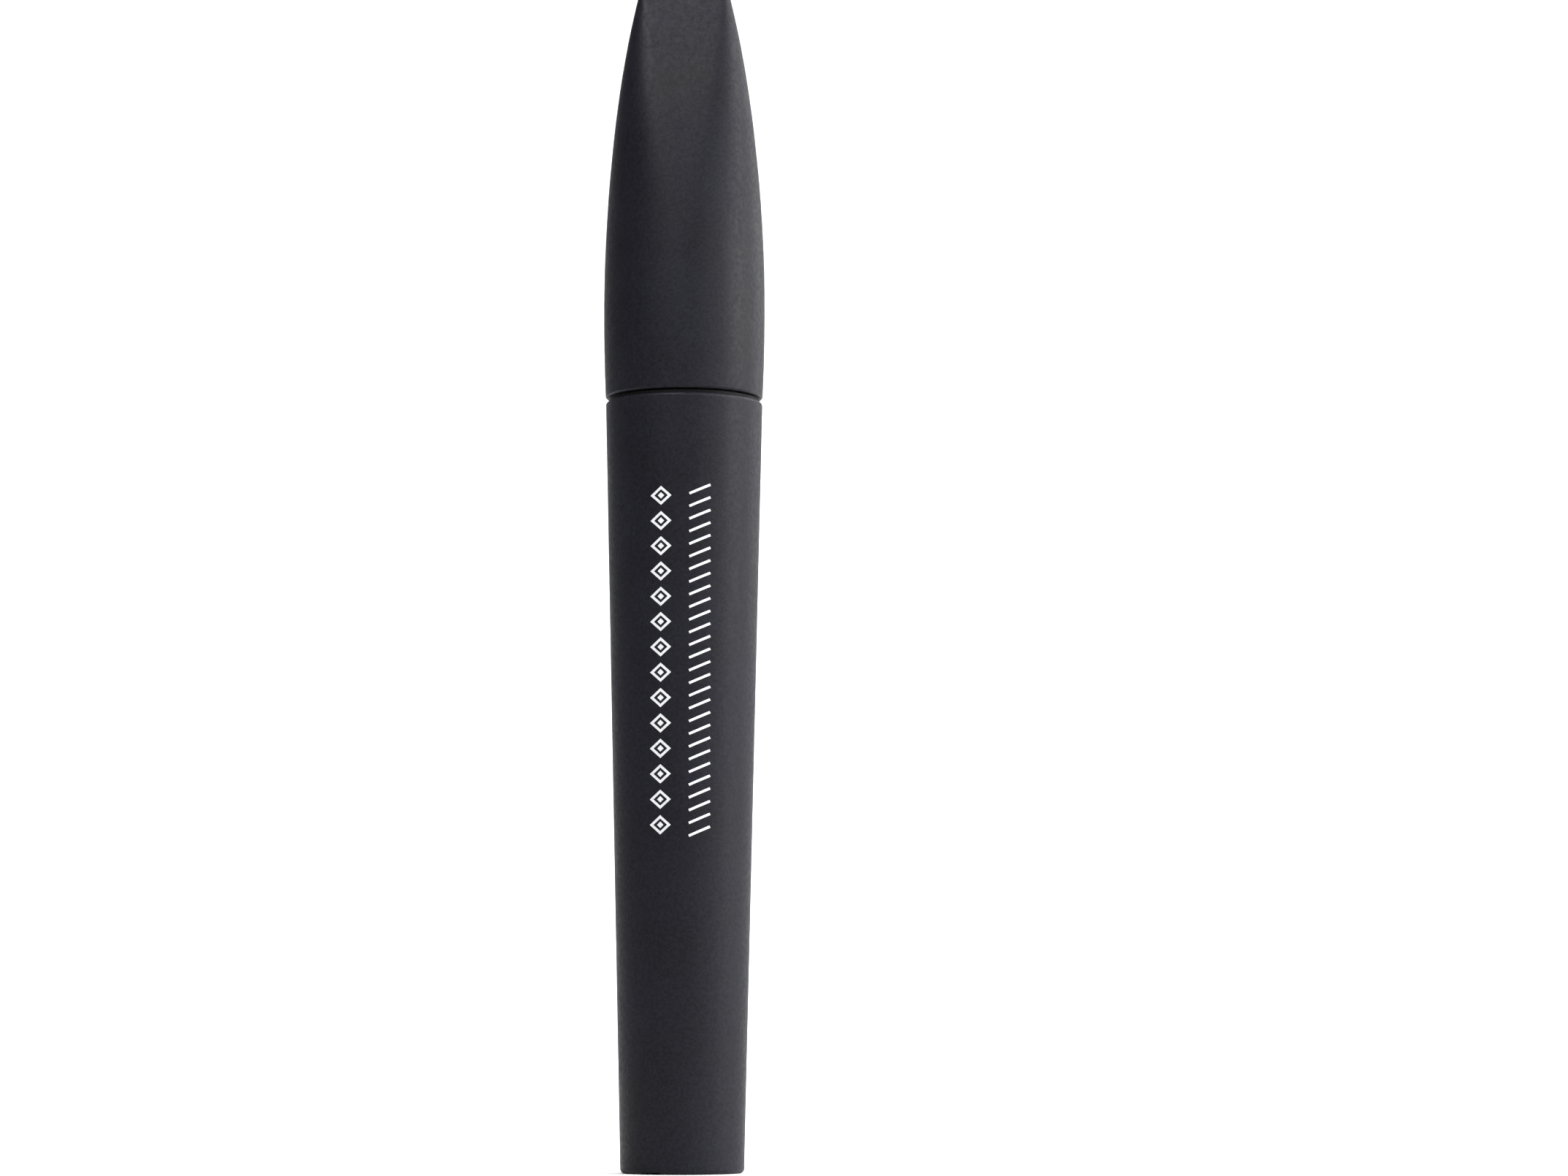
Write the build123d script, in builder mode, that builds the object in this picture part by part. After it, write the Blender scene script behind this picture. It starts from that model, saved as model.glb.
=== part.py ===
"""Mascara tube: tapered tube, square-to-round cap with lug closure, wand and twisted-wire brush.

Millimetres, +Z up, the tube stands on Z = 0 with its axis on Z and its printed front facing -Y.
Closed position: the cap is seated on the tube with its lugs in the entry windows of the neck,
and the brush reaches down into the paste. Turning the cap clockwise locks it under the ledges.
"""
import math
import os

from build123d import *

# ---------------------------------------------------------------- driving dimensions
# overall
TOTAL_H = 130.0  # base to the top of the cap
TUBE_H = 84.8  # base to the tube's shoulder
TUBE_BASE_R = 6.76  # outer radius at the base
TUBE_TOP_R = 8.70  # outer radius at the shoulder
SEAM_GAP = 0.5  # recessed gap between shoulder and cap

# outer sleeve of the tube
SLEEVE_WALL = 0.8
SLEEVE_FLOOR = 1.2
BASE_ROUND = 0.5
SHOULDER_ROUND = 0.35
NOTCH_W = 2.0
NOTCH_H = 0.22
NOTCH_X = -3.3

# inner bottle and its neck
BOTTLE_R = 5.75
BOTTLE_WALL = 0.8
BOTTLE_FLOOR = 1.0
BOTTLE_SHOULDER_H = 3.0
NECK_H = 12.5  # above the tube's shoulder
NECK_R = 5.4
NECK_BORE_R = 4.4

# collar between sleeve and neck
COLLAR_DEPTH = 3.6
COLLAR_STAND = 2.2
COLLAR_R = 6.9
COLLAR_LIP_INSET = 0.05  # lip on the tube's rim, inside the shoulder's round
SEAM_CLEARANCE = 0.2  # between that lip and the cap's mouth

# lug closure, one lug for each flat of the cap
LUG_COUNT = 4
TURN = 45.0  # degrees from seated to locked
LEDGE_R = 6.3
LEDGE_Z = 5.2  # underside of the neck's ledges above the shoulder
LEDGE_T = 1.3
LUG_ANGLE = 34.0
LUG_H = 1.5
LUG_PLAY = 0.1  # between a lug and the ledge above it
STOP_PLAY = 1.0  # degrees between a lug and a stop rib

# wiper
WIPER_FLANGE_T = 0.8
WIPER_FLANGE_R = 5.3
WIPER_WALL = 0.6
WIPER_TUBE_L = 9.0
WIPER_CONE_L = 4.0
WIPER_GAP = 0.07  # between the lip and the rod

# paste
PASTE_RISE = 12.0  # level of the paste above the rod's end
PASTE_BORE_R = 4.35

# seal washer
WASHER_T = 1.0
WASHER_R = 5.7
WASHER_BORE_R = 3.15

# cap
CAP_MOUTH_R = 8.72
CAP_BORE_R = 7.75
CAP_WALL = 1.1  # across the flats, above the inner cap
CAP_TOP_T = 1.4
CAP_TOP_ROUND = 0.45
CAP_MOUTH_BEVEL = 0.15
# drawn for a cap 44.7 high with a mouth radius of 8.72:
# height above the mouth, half width across the flats, half width of one flat
DRAWN_H = 44.7
DRAWN_R = 8.72
CAP_SECTIONS = [
    (0.0, 8.72, 0.0),
    (3.0, 8.84, 0.0),
    (6.3, 8.92, 0.0),
    (9.6, 8.95, 0.0),
    (12.9, 8.93, 0.03),
    (16.2, 8.84, 0.17),
    (18.7, 8.72, 0.39),
    (21.5, 8.55, 0.72),
    (24.5, 8.31, 1.23),
    (27.5, 8.01, 1.83),
    (30.5, 7.66, 2.44),
    (33.5, 7.25, 3.00),
    (36.5, 6.77, 3.43),
    (39.5, 6.22, 3.77),
    (42.2, 5.65, 4.03),
    (44.7, 5.07, 4.25),
]
# directions in which each section is drawn, closer together round the corners
CORNER_DIRECTIONS = [0, 10, 20, 28, 34, 38, 41, 43, 45, 47, 49, 52, 56, 62, 70, 80]

# inner cap
INNER_LIFT = 0.6  # its rim above the cap's mouth
INNER_MOUTH_R = 7.2
INNER_MOUTH_H = 2.0
INNER_BORE_R = 6.5
INNER_LUG_R = 5.55
CROWN_T = 2.0
SOCKET_R = 3.5
SOCKET_H = 5.0
SEAL_GAP = 0.05

# wand
ROD_R = 2.05
ROD_TIP_R = 1.68
ROD_TAPER_L = 3.6
ROD_COLLAR_R = 2.95
ROD_HEAD_R = 2.9
WIRE_INSERT = 8.0

# twisted wire and brush
STRAND_R = 0.30
STRAND_OFFSET = 0.28
STRAND_PITCH = 3.4
WIRE_TIP_FLAT = 0.08
TIP_CLEAR = 2.1  # wire tip above the bottle's floor
TIP_LEAD = 0.7  # wire tip beyond the last bristles
BRUSH_R = 4.1
BRUSH_TIP_R = 2.75
BRUSH_TAPER_L = 7.4
BRUSH_SPAN = 25.0  # last bristles to the rod's end
BRUSH_BORE_R = 0.66

# ---------------------------------------------------------------- derived heights and radii
CAP_Z = TUBE_H + SEAM_GAP
CAP_H = TOTAL_H - CAP_Z
CAP_STRETCH = CAP_H / DRAWN_H
CAP_SPREAD = CAP_MOUTH_R / DRAWN_R
CAP_ROOF = TOTAL_H - CAP_TOP_T
NECK_TOP = TUBE_H + NECK_H
FLANGE_TOP = NECK_TOP + WIPER_FLANGE_T
CROWN_Z = FLANGE_TOP + WASHER_T + SEAL_GAP
CROWN_TOP = CROWN_Z + CROWN_T
SOCKET_TOP = CROWN_TOP + SOCKET_H
TAPER = (TUBE_TOP_R - TUBE_BASE_R) / TUBE_H
BOTTLE_Z = SLEEVE_FLOOR
BOTTLE_FLOOR_TOP = BOTTLE_Z + BOTTLE_FLOOR
COLLAR_Z = TUBE_H - COLLAR_DEPTH
COLLAR_LIP_R = TUBE_TOP_R - SHOULDER_ROUND - COLLAR_LIP_INSET
SHOULDER_TOP = COLLAR_Z
SHOULDER_FOOT = SHOULDER_TOP - BOTTLE_SHOULDER_H
WIPER_R = NECK_BORE_R
WIPER_BORE = WIPER_R - WIPER_WALL
WIPER_FOOT = NECK_TOP - WIPER_TUBE_L
LIP_R = ROD_R + WIPER_GAP
LEDGE_BOTTOM = TUBE_H + LEDGE_Z
LUG_TOP = LEDGE_BOTTOM - LUG_PLAY
LUG_BOTTOM = LUG_TOP - LUG_H
LUG_HALF = LUG_ANGLE / 2
STOP_INNER = LUG_HALF + STOP_PLAY  # stop rib's near edge, degrees from the ledge's middle
PITCH_ANGLE = 360.0 / LUG_COUNT
LEDGE_HALF = PITCH_ANGLE - TURN - LUG_HALF - STOP_PLAY
WIRE_LOW = BOTTLE_FLOOR_TOP + TIP_CLEAR
BRUSH_LOW = WIRE_LOW + TIP_LEAD
ROD_END = BRUSH_LOW + BRUSH_SPAN
BRUSH_HIGH = ROD_END - 0.2
PASTE_TOP = ROD_END + PASTE_RISE
WIRE_HIGH = ROD_END + WIRE_INSERT
WIRE_R = STRAND_OFFSET + STRAND_R


def tube_r(z):
    """Outer radius of the tube at height z."""
    return TUBE_BASE_R + TAPER * z


def polar(radius, degrees):
    """Point at a radius and an angle about Z."""
    angle = math.radians(degrees)
    return (radius * math.cos(angle), radius * math.sin(angle))


def front(degrees):
    """Angles are counted from the front, which faces -Y."""
    return degrees - 90.0


def outline(points):
    """Closed outline of (radius, z) points, ready to be turned about Z."""
    with BuildSketch(Plane.XZ) as drawn:
        with BuildLine():
            Polyline(*points, close=True)
        make_face()
    return drawn.sketch


def sector(r_in, r_out, start, end, z):
    """Flat ring sector at height z between two angles, counted from the front."""
    middle = (start + end) / 2
    with BuildSketch(Plane.XY.offset(z)) as drawn:
        with BuildLine():
            Line(polar(r_in, front(start)), polar(r_out, front(start)))
            ThreePointArc(
                polar(r_out, front(start)), polar(r_out, front(middle)), polar(r_out, front(end))
            )
            Line(polar(r_out, front(end)), polar(r_in, front(end)))
            ThreePointArc(
                polar(r_in, front(end)), polar(r_in, front(middle)), polar(r_in, front(start))
            )
        make_face()
    return drawn.sketch


def reach(degrees, half, flat):
    """Distance from the axis to a rounded square, in one direction."""
    angle = math.radians(degrees % 90)
    across = math.cos(angle)
    up = math.sin(angle)
    if up * half <= flat * across:
        return half / across
    if across * half <= flat * up:
        return half / up
    along = flat * (across + up)
    return along + math.sqrt(along**2 - 2 * flat**2 + (half - flat) ** 2)


def soft_square(half, flat, z):
    """Rounded square at height z, drawn as one smooth closed curve."""
    directions = [90 * side + step for side in range(4) for step in CORNER_DIRECTIONS]
    points = [Vector(*polar(reach(step, half, flat), step)) for step in directions]
    places = [step / 360 for step in directions] + [1.0]
    with BuildSketch(Plane.XY.offset(z)) as drawn:
        with BuildLine():
            add(Edge.make_spline(points, periodic=True, parameters=places))
        make_face()
    return drawn.sketch


os.makedirs("parts", exist_ok=True)

# ---------------------------------------------------------------- outer sleeve of the tube
with BuildPart() as outer_sleeve:
    profile = outline(
        [
            (0, 0),
            (TUBE_BASE_R, 0),
            (TUBE_TOP_R, TUBE_H),
            (TUBE_TOP_R - SLEEVE_WALL, TUBE_H),
            (tube_r(SLEEVE_FLOOR) - SLEEVE_WALL, SLEEVE_FLOOR),
            (0, SLEEVE_FLOOR),
        ]
    )
    revolve(profile, axis=Axis.Z)
    fillet(outer_sleeve.edges().group_by(Axis.Z)[0], BASE_ROUND)
    fillet(outer_sleeve.edges().group_by(Axis.Z)[-1].sort_by(SortBy.RADIUS)[-1], SHOULDER_ROUND)
    with Locations((NOTCH_X, -TUBE_BASE_R, 0)):
        Box(
            NOTCH_W,
            3.4,
            NOTCH_H,
            align=(Align.CENTER, Align.CENTER, Align.MIN),
            mode=Mode.SUBTRACT,
        )
outer_sleeve.part.label = "outer_sleeve"
export_step(outer_sleeve.part, "parts/outer_sleeve.step")

# ---------------------------------------------------------------- inner bottle, neck and ledges
with BuildPart() as inner_bottle:
    profile = outline(
        [
            (0, BOTTLE_Z),
            (BOTTLE_R, BOTTLE_Z),
            (BOTTLE_R, SHOULDER_FOOT),
            (BOTTLE_R, SHOULDER_TOP),
            (NECK_R, SHOULDER_TOP),
            (NECK_R, NECK_TOP),
            (NECK_BORE_R, NECK_TOP),
            (NECK_BORE_R, SHOULDER_TOP),
            (BOTTLE_R - BOTTLE_WALL, SHOULDER_FOOT),
            (BOTTLE_R - BOTTLE_WALL, BOTTLE_FLOOR_TOP),
            (0, BOTTLE_FLOOR_TOP),
        ]
    )
    revolve(profile, axis=Axis.Z)
    # ledges that hold the cap's lugs down once it is turned
    for index in range(LUG_COUNT):
        turn = index * PITCH_ANGLE - TURN
        ledge = sector(NECK_R - 0.3, LEDGE_R, turn - LEDGE_HALF, turn + LEDGE_HALF, LEDGE_BOTTOM)
        extrude(ledge, amount=LEDGE_T)
    # a stop rib under the far end of each ledge
    for index in range(LUG_COUNT):
        turn = index * PITCH_ANGLE - TURN
        rib = sector(NECK_R - 0.3, LEDGE_R, turn - LEDGE_HALF, turn - STOP_INNER, LUG_BOTTOM)
        extrude(rib, amount=LEDGE_BOTTOM - LUG_BOTTOM)
inner_bottle.part.label = "inner_bottle"
export_step(inner_bottle.part, "parts/inner_bottle.step")

# ---------------------------------------------------------------- collar in the tube's mouth
with BuildPart() as collar:
    profile = outline(
        [
            (NECK_R, COLLAR_Z),
            (tube_r(COLLAR_Z) - SLEEVE_WALL, COLLAR_Z),
            (TUBE_TOP_R - SLEEVE_WALL, TUBE_H),
            (COLLAR_LIP_R, TUBE_H),
            (COLLAR_LIP_R, CAP_Z - SEAM_CLEARANCE),
            (COLLAR_R, CAP_Z - SEAM_CLEARANCE),
            (COLLAR_R, TUBE_H + COLLAR_STAND - 0.4),
            (COLLAR_R - 0.4, TUBE_H + COLLAR_STAND),
            (NECK_R, TUBE_H + COLLAR_STAND),
        ]
    )
    revolve(profile, axis=Axis.Z)
collar.part.label = "collar"
export_step(collar.part, "parts/collar.step")

# ---------------------------------------------------------------- wiper in the neck
with BuildPart() as wiper:
    profile = outline(
        [
            (WIPER_BORE + 0.4, FLANGE_TOP),
            (WIPER_FLANGE_R, FLANGE_TOP),
            (WIPER_FLANGE_R, NECK_TOP),
            (WIPER_R, NECK_TOP),
            (WIPER_R, WIPER_FOOT),
            (LIP_R + WIPER_WALL, WIPER_FOOT - WIPER_CONE_L),
            (LIP_R, WIPER_FOOT - WIPER_CONE_L),
            (LIP_R, WIPER_FOOT - WIPER_CONE_L + 0.6),
            (WIPER_BORE, WIPER_FOOT),
            (WIPER_BORE, FLANGE_TOP - 0.4),
        ]
    )
    revolve(profile, axis=Axis.Z)
wiper.part.label = "wiper"
export_step(wiper.part, "parts/wiper.step")

# ---------------------------------------------------------------- mascara paste
with BuildPart() as mascara_paste:
    profile = outline(
        [
            (0, BOTTLE_FLOOR_TOP),
            (BOTTLE_R - BOTTLE_WALL, BOTTLE_FLOOR_TOP),
            (BOTTLE_R - BOTTLE_WALL, PASTE_TOP),
            (PASTE_BORE_R, PASTE_TOP - 0.6),
            (PASTE_BORE_R, BRUSH_LOW + BRUSH_TAPER_L),
            (BRUSH_TIP_R + 0.3, BRUSH_LOW - 0.3),
            (1.4, WIRE_LOW - 0.4),
            (0, WIRE_LOW - 0.4),
        ]
    )
    revolve(profile, axis=Axis.Z)
mascara_paste.part.label = "mascara_paste"
export_step(mascara_paste.part, "parts/mascara_paste.step")

# ---------------------------------------------------------------- seal washer on the wiper's flange
with BuildPart() as seal_washer:
    with BuildSketch(Plane.XY.offset(FLANGE_TOP)):
        Circle(WASHER_R)
        Circle(WASHER_BORE_R, mode=Mode.SUBTRACT)
    extrude(amount=WASHER_T)
    chamfer(seal_washer.edges(), 0.12)
seal_washer.part.label = "seal_washer"
export_step(seal_washer.part, "parts/seal_washer.step")

# ---------------------------------------------------------------- overcap
with BuildPart() as overcap:
    for height, half, flat in CAP_SECTIONS:
        level = CAP_Z + height * CAP_STRETCH
        add(soft_square(half * CAP_SPREAD, flat * CAP_SPREAD, level))
    loft()
    fillet(overcap.faces().sort_by(Axis.Z)[-1].edges(), CAP_TOP_ROUND)
    # small bevel on the outside of the mouth
    bevel = outline(
        [
            (CAP_MOUTH_R - CAP_MOUTH_BEVEL, CAP_Z),
            (CAP_MOUTH_R + 1.0, CAP_Z),
            (CAP_MOUTH_R + 1.0, CAP_Z + 1.0 + CAP_MOUTH_BEVEL),
        ]
    )
    revolve(bevel, axis=Axis.Z, mode=Mode.SUBTRACT)
    # hollow: a bore for the inner cap, then an even wall up to the roof
    hollow = [(0, CAP_Z), (CAP_BORE_R, CAP_Z), (CAP_BORE_R, CROWN_TOP)]
    for height, half, flat in CAP_SECTIONS:
        level = CAP_Z + height * CAP_STRETCH
        if CROWN_TOP + 0.5 < level < CAP_ROOF - 0.5:
            hollow.append((min(CAP_BORE_R, half * CAP_SPREAD - CAP_WALL), level))
    hollow.append((CAP_SECTIONS[-1][1] * CAP_SPREAD - CAP_WALL, CAP_ROOF))
    hollow.append((0, CAP_ROOF))
    revolve(outline(hollow), axis=Axis.Z, mode=Mode.SUBTRACT)
overcap.part.label = "overcap"
export_step(overcap.part, "parts/overcap.step")

# ---------------------------------------------------------------- inner cap with its lugs
with BuildPart() as inner_cap:
    profile = outline(
        [
            (INNER_MOUTH_R, CAP_Z + INNER_LIFT),
            (CAP_BORE_R, CAP_Z + INNER_LIFT),
            (CAP_BORE_R, CROWN_TOP),
            (SOCKET_R, CROWN_TOP),
            (SOCKET_R, SOCKET_TOP),
            (ROD_R, SOCKET_TOP),
            (ROD_R, CROWN_Z),
            (INNER_BORE_R, CROWN_Z),
            (INNER_BORE_R, CAP_Z + INNER_LIFT + INNER_MOUTH_H),
            (INNER_MOUTH_R, CAP_Z + INNER_LIFT + INNER_MOUTH_H - 0.5),
        ]
    )
    revolve(profile, axis=Axis.Z)
    for index in range(LUG_COUNT):
        turn = index * PITCH_ANGLE
        lug = sector(INNER_LUG_R, INNER_BORE_R + 0.3, turn - LUG_HALF, turn + LUG_HALF, LUG_BOTTOM)
        extrude(lug, amount=LUG_H)
inner_cap.part.label = "inner_cap"
export_step(inner_cap.part, "parts/inner_cap.step")

# ---------------------------------------------------------------- rod
with BuildPart() as rod:
    profile = outline(
        [
            (0, ROD_END),
            (ROD_TIP_R, ROD_END),
            (ROD_R, ROD_END + ROD_TAPER_L),
            (ROD_R, FLANGE_TOP + 0.35),
            (ROD_COLLAR_R, FLANGE_TOP + 0.35),
            (ROD_COLLAR_R, CROWN_Z),
            (ROD_R, CROWN_Z),
            (ROD_R, SOCKET_TOP),
            (ROD_HEAD_R, SOCKET_TOP),
            (ROD_HEAD_R, SOCKET_TOP + 0.5),
            (ROD_R - 0.3, SOCKET_TOP + 1.8),
            (0, SOCKET_TOP + 1.8),
        ]
    )
    revolve(profile, axis=Axis.Z)
    fillet(rod.edges().group_by(Axis.Z)[0], 0.25)
    with BuildSketch(Plane.XY.offset(ROD_END)):
        Circle(WIRE_R + 0.02)
    extrude(amount=WIRE_INSERT, mode=Mode.SUBTRACT)
rod.part.label = "rod"
export_step(rod.part, "parts/rod.step")

# ---------------------------------------------------------------- twisted wire
with BuildPart() as core_wire:
    # cropped and rounded tip
    with Locations((0, 0, WIRE_LOW)):
        Cylinder(STRAND_R, BRUSH_LOW - WIRE_LOW, align=(Align.CENTER, Align.CENTER, Align.MIN))
    fillet(core_wire.edges().group_by(Axis.Z)[0], STRAND_R - WIRE_TIP_FLAT)
    # two strands wound round each other
    with BuildLine() as wire_axis:
        Line((0, 0, BRUSH_LOW), (0, 0, WIRE_HIGH))
    with BuildLine(mode=Mode.PRIVATE) as wire_guide:
        Helix(
            STRAND_PITCH, WIRE_HIGH - BRUSH_LOW, WIRE_R, center=(0, 0, BRUSH_LOW), lefthand=True
        )
    with BuildSketch(Plane.XY.offset(BRUSH_LOW)):
        with Locations((STRAND_OFFSET, 0), (-STRAND_OFFSET, 0)):
            Circle(STRAND_R)
    sweep(path=wire_axis.line, binormal=wire_guide.wires()[0])
core_wire.part.label = "core_wire"
export_step(core_wire.part, "parts/core_wire.step")

# ---------------------------------------------------------------- bristles, one closed envelope
with BuildPart() as bristles:
    profile = outline(
        [
            (BRUSH_BORE_R, BRUSH_LOW),
            (BRUSH_TIP_R, BRUSH_LOW),
            (BRUSH_R, BRUSH_LOW + BRUSH_TAPER_L),
            (BRUSH_R, BRUSH_HIGH - 0.9),
            (BRUSH_R - 0.25, BRUSH_HIGH),
            (BRUSH_BORE_R, BRUSH_HIGH),
        ]
    )
    revolve(profile, axis=Axis.Z)
bristles.part.label = "bristles"
export_step(bristles.part, "parts/bristles.step")
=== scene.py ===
import math
import random

import bmesh
import bpy
from mathutils import Matrix, Vector


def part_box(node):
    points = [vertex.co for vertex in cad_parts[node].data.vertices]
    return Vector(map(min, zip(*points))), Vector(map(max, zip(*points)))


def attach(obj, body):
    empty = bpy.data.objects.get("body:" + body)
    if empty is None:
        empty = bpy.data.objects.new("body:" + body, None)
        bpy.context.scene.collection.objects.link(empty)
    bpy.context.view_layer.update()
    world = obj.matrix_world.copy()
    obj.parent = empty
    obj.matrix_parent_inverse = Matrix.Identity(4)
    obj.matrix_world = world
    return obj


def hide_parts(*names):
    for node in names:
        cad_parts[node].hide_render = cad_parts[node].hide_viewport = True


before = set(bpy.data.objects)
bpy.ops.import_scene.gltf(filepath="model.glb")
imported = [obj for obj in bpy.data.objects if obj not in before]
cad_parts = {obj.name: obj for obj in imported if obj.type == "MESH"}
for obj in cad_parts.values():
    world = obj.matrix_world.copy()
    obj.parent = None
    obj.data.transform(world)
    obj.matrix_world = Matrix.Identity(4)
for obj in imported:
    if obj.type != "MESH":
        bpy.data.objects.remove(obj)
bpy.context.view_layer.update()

bl_info = {
    "name": "Mascara Tube Finish",
    "version": (1, 0, 0),
    "blender": (4, 5, 0),
    "location": "3D View > Sidebar > Mascara",
    "description": "Finishes, brush filaments, printed ornament and studio for a mascara tube",
    "category": "Object",
}

MM = 0.001

# Lowest and highest corners of the pieces that the new ones are built on.
SLEEVE_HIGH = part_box("outer_sleeve")[1]
BRUSH_LOW, BRUSH_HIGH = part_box("bristles")

# Brush: it narrows over its lowest stretch, and its topmost filaments are cut a little short.
BRUSH_SEED = 11
TIP_REACH = 2.75 * MM
TAPER_LENGTH = 7.4 * MM
TOP_BAND = 0.9 * MM
TOP_TRIM = 0.25 * MM
# Filaments start inside the wire, and wet neighbours cling together this many at a time.
ROOT = 0.15 * MM
TUFT = 6
# How far tufts, filaments and strays spread up or down (lean) and round the wire (swing), in
# degrees, and their shortest and longest share of the full length.
TUFT_LEAN, TUFT_SWING = 3.0, 5.0
LEAN, SWING = 1.8, 4.0
STRAY_LEAN, STRAY_SWING = 16, 20
LENGTHS = (0.94, 0.992)
STRAY_LENGTHS = (0.80, 0.99)
# Filaments stay this far inside the brush's two ends.
END_MARGIN = 0.1 * MM
# Sideways bow of each kind of filament at its tip, in millimetres.
BOWS = (-0.30, -0.16, -0.06, 0.0, 0.05, 0.15, 0.32)
# Where a filament is cut to be bent, as shares of its length, and how much it thins.
BEND_AT = (0.3, 0.6, 0.85)
THINNING = 0.3

# Printed ornament: its height on the tube, its two rows and the film of ink.
ORNAMENT_BOTTOM, ORNAMENT_TOP = 36.2 * MM, 74.8 * MM
LEFT_ROW, RIGHT_ROW = -2.3 * MM, 1.94 * MM
MARKS_PER_ROW = 14
LOZENGE_SIZE = (2.3 * MM, 2.1 * MM)
CORE_SIZE = 0.50 * MM
SLANT_LENGTH = 2.5 * MM
SLANT_ANGLE = math.radians(-24)
INK_LIFT = 0.018 * MM
INK_FILM = 0.012 * MM

# Lights: place, point aimed at, width, height, spread in degrees, and the setting of its power.
LIGHTS = {
    # the light comes round from the right, and the tube's left side is left in shade
    "softbox_right": ((0.60, -0.06, 0.40), (0, 0, 0.08), 0.34, 0.7, 180, "key_power"),
    "strip_right": ((0.37, -0.47, 0.44), (0, 0, 0.10), 0.06, 0.8, 180, "strip_power"),
    "softbox_rim": ((0.42, 0.36, 0.42), (0, 0, 0.08), 0.2, 0.7, 180, "rim_power"),
    # a small light close above the front brings out the cap's flat and fades down the tube
    "softbox_top": ((-0.09, -0.24, 0.36), (0, 0, 0.13), 0.16, 0.16, 60, "top_power"),
    # the paper is washed from above and behind, clear of the tube's front
    "paper_wash": ((0, 0.95, 1.15), (0, 1.1, 0.1), 1.3, 1.3, 110, "paper_power"),
}

# Studio paper: the floor's size and where it lies, then the curve up into the wall.
PAPER_SIZE = (6.0, 3.6)
PAPER_MIDDLE = -0.6
PAPER_BACK = 1.2
CURVE_RADIUS = 0.35
CURVE_STEPS = 12
WALL_HEIGHT = 2.2

# Camera: lens and sensor in millimetres, and how far it stands to the right of the tube.
LENS = 96.0
SENSOR = 36.0
CAMERA_ASIDE = 0.0111


# ---------------------------------------------------------------- colour and nodes
def linear(code):
    """sRGB hex to linear RGBA."""
    code = code.lstrip("#")
    parts = [int(code[i : i + 2], 16) / 255 for i in (0, 2, 4)]
    return tuple(
        p / 12.92 if p <= 0.04045 else ((p + 0.055) / 1.055) ** 2.4 for p in parts
    ) + (1.0,)


def add(tree, kind, inputs, out=0, **settings):
    """Adds a node and returns its output socket out. inputs maps a socket's name or number to a
    value, to hex colour text, or to another node's output."""
    node = tree.nodes.new(kind)
    for key, value in settings.items():
        setattr(node, key, value)
    for key, value in inputs.items():
        if isinstance(value, bpy.types.NodeSocket):
            tree.links.new(value, node.inputs[key])
        elif isinstance(value, str):
            node.inputs[key].default_value = linear(value)
        else:
            node.inputs[key].default_value = value
    return node.outputs[out]


def finish(name, constants, build):
    """Makes a material. constants go straight on the shader's sockets; build(tree) returns the
    patterns that drive its other sockets."""
    material = bpy.data.materials.new(name)
    material.use_nodes = True
    tree = material.node_tree
    tree.nodes.clear()
    sockets = dict(constants)
    sockets.update(build(tree))
    surface = add(tree, "ShaderNodeBsdfPrincipled", sockets)
    shown = tree.nodes.new("ShaderNodeOutputMaterial")
    tree.links.new(surface, shown.inputs["Surface"])
    return material


def in_millimetres(tree, stretch=(1, 1, 1)):
    """Object coordinates in millimetres; a stretch below 1 draws a pattern out along that axis."""
    place = add(tree, "ShaderNodeTexCoord", {}, "Object")
    scale = tuple(k / MM for k in stretch)
    return add(tree, "ShaderNodeMapping", {"Vector": place, "Scale": scale})


def off_axis(tree):
    """Distance from the tube's axis, in millimetres."""
    place = in_millimetres(tree)
    flat = add(tree, "ShaderNodeVectorMath", {0: place, 1: (1, 1, 0)}, operation="MULTIPLY")
    return add(tree, "ShaderNodeVectorMath", {0: flat}, "Value", operation="LENGTH")


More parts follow.
